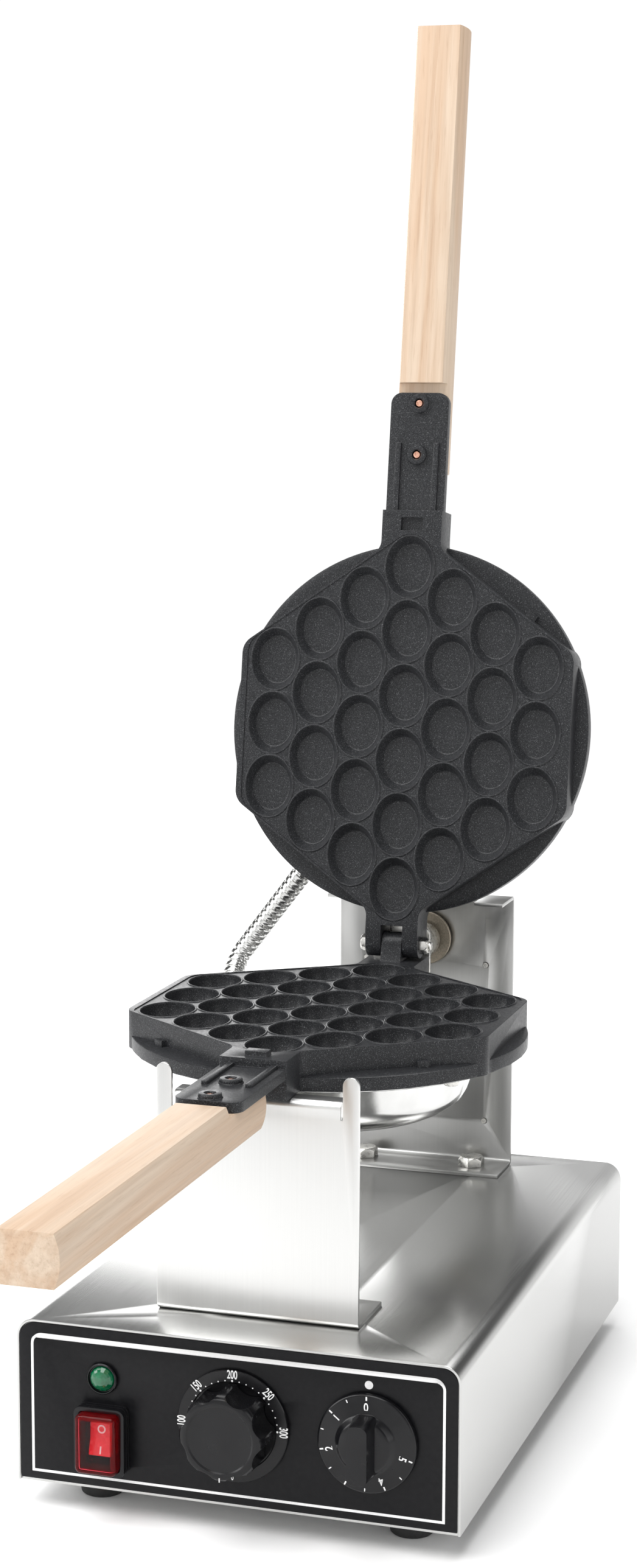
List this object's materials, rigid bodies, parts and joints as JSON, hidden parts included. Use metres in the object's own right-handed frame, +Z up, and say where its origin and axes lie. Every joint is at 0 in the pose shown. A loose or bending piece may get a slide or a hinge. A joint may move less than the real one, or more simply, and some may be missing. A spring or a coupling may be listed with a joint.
{
  "type": "egg waffle iron",
  "caption": "Counter-top egg waffle iron: hinged cast mould plates with wooden handles, turning on brackets over a steel control housing.",
  "frame": {"origin": "on the table, under the middle of the housing", "axes": "+X to the right as seen by the cook, +Y to the back, +Z up"},
  "size_m": [0.217, 0.59, 0.7163],
  "materials": {
    "steel": "fine brushed stainless steel",
    "zinc": "zinc plated steel, satin",
    "polished": "bright pressed stainless steel",
    "cast": "black non-stick coating with a fine sparkle, over cast aluminium",
    "label": "satin black printed plate",
    "rubber": "matt black rubber",
    "wood": "pale bare hardwood with a fine brown grain",
    "copper": "coppery plated screws",
    "black_plastic": "gloss black moulded plastic",
    "grey_plastic": "light grey moulding",
    "red_boot": "clear red soft plastic",
    "green_lens": "clear green plastic",
    "mica": "mica faced heater",
    "bronze": "sintered bronze"
  },
  "bodies": {
    "base": {"housing_shell": "steel", "front_plate": "steel", "front_label": "label", "back_panel": "steel", "bottom_plate": "steel", "feet": "rubber", "foot_screws": "zinc", "front_bracket": "steel", "rear_bracket": "steel", "bracket_bolts": "zinc", "bracket_nuts": "zinc", "wire_cover": "steel", "wire_cover_screws": "zinc", "cable_inlet": "black_plastic", "cable_inlet_nut": "black_plastic", "thermostat_bezel": "black_plastic", "thermostat_body": "grey_plastic", "timer_body": "zinc", "lamp_body": "black_plastic", "lamp_lens": "green_lens", "switch_body": "black_plastic", "splash_boot": "red_boot", "terminal_block": "grey_plastic"},
    "pivot": {"pivot_bush": "bronze", "bush_ring": "bronze"},
    "lower_iron": {"pivot_shaft": "zinc", "pivot_screws": "zinc", "shaft_nut": "zinc", "lower_mould_plate": "cast", "lower_handle": "wood", "lower_handle_screws": "copper", "lower_heater": "mica", "lower_heater_strap": "zinc", "lower_strap_studs": "zinc", "lower_strap_nuts": "zinc", "thermostat_bulb": "copper", "lower_cover": "polished", "lower_cover_nuts": "zinc", "lower_conduit_gland": "zinc", "conduit": "polished"},
    "upper_iron": {"upper_mould_plate": "cast", "hinge_bolt": "zinc", "hinge_nut": "zinc", "upper_handle": "wood", "upper_handle_screws": "copper", "upper_heater": "mica", "upper_heater_strap": "zinc", "upper_strap_studs": "zinc", "upper_strap_nuts": "zinc", "upper_cover": "polished", "upper_cover_nuts": "zinc", "upper_conduit_gland": "zinc"},
    "thermostat_dial": {"thermostat_knob": "black_plastic", "thermostat_spindle": "zinc"},
    "timer_dial": {"timer_knob": "black_plastic", "timer_spindle": "zinc"},
    "power_rocker": {"rocker": "red_boot"}
  },
  "joints": [
    {"name": "iron_lift", "type": "hinge", "parent": "base", "child": "pivot", "pos_m": [0, 0.15105, 0.22], "axis": [-1, 0, 0], "range_deg": [0, 2.45]},
    {"name": "iron_turn", "type": "hinge", "parent": "pivot", "child": "lower_iron", "pos_m": [0, 0.15105, 0.22], "axis": [0, 1, 0], "range_deg": [0, 35]},
    {"name": "lid", "type": "hinge", "parent": "lower_iron", "child": "upper_iron", "pos_m": [0, 0.08755, 0.2282], "axis": [1, 0, 0], "range_deg": [0, 99], "deforming": ["conduit"]},
    {"name": "thermostat_turn", "type": "hinge", "parent": "base", "child": "thermostat_dial", "pos_m": [0, -0.172, 0.053], "axis": [0, 1, 0], "range_deg": [0, 270]},
    {"name": "timer_turn", "type": "hinge", "parent": "base", "child": "timer_dial", "pos_m": [0.065, -0.172, 0.053], "axis": [0, 1, 0], "range_deg": [0, 257]},
    {"name": "rocker_tilt", "type": "hinge", "parent": "base", "child": "power_rocker", "pos_m": [-0.064, -0.171, 0.0396], "axis": [1, 0, 0], "range_deg": [0, 20]}
  ],
  "couplings": [
    {"joint": "iron_lift", "follows": "iron_turn", "ratio": 0.07}
  ]
}
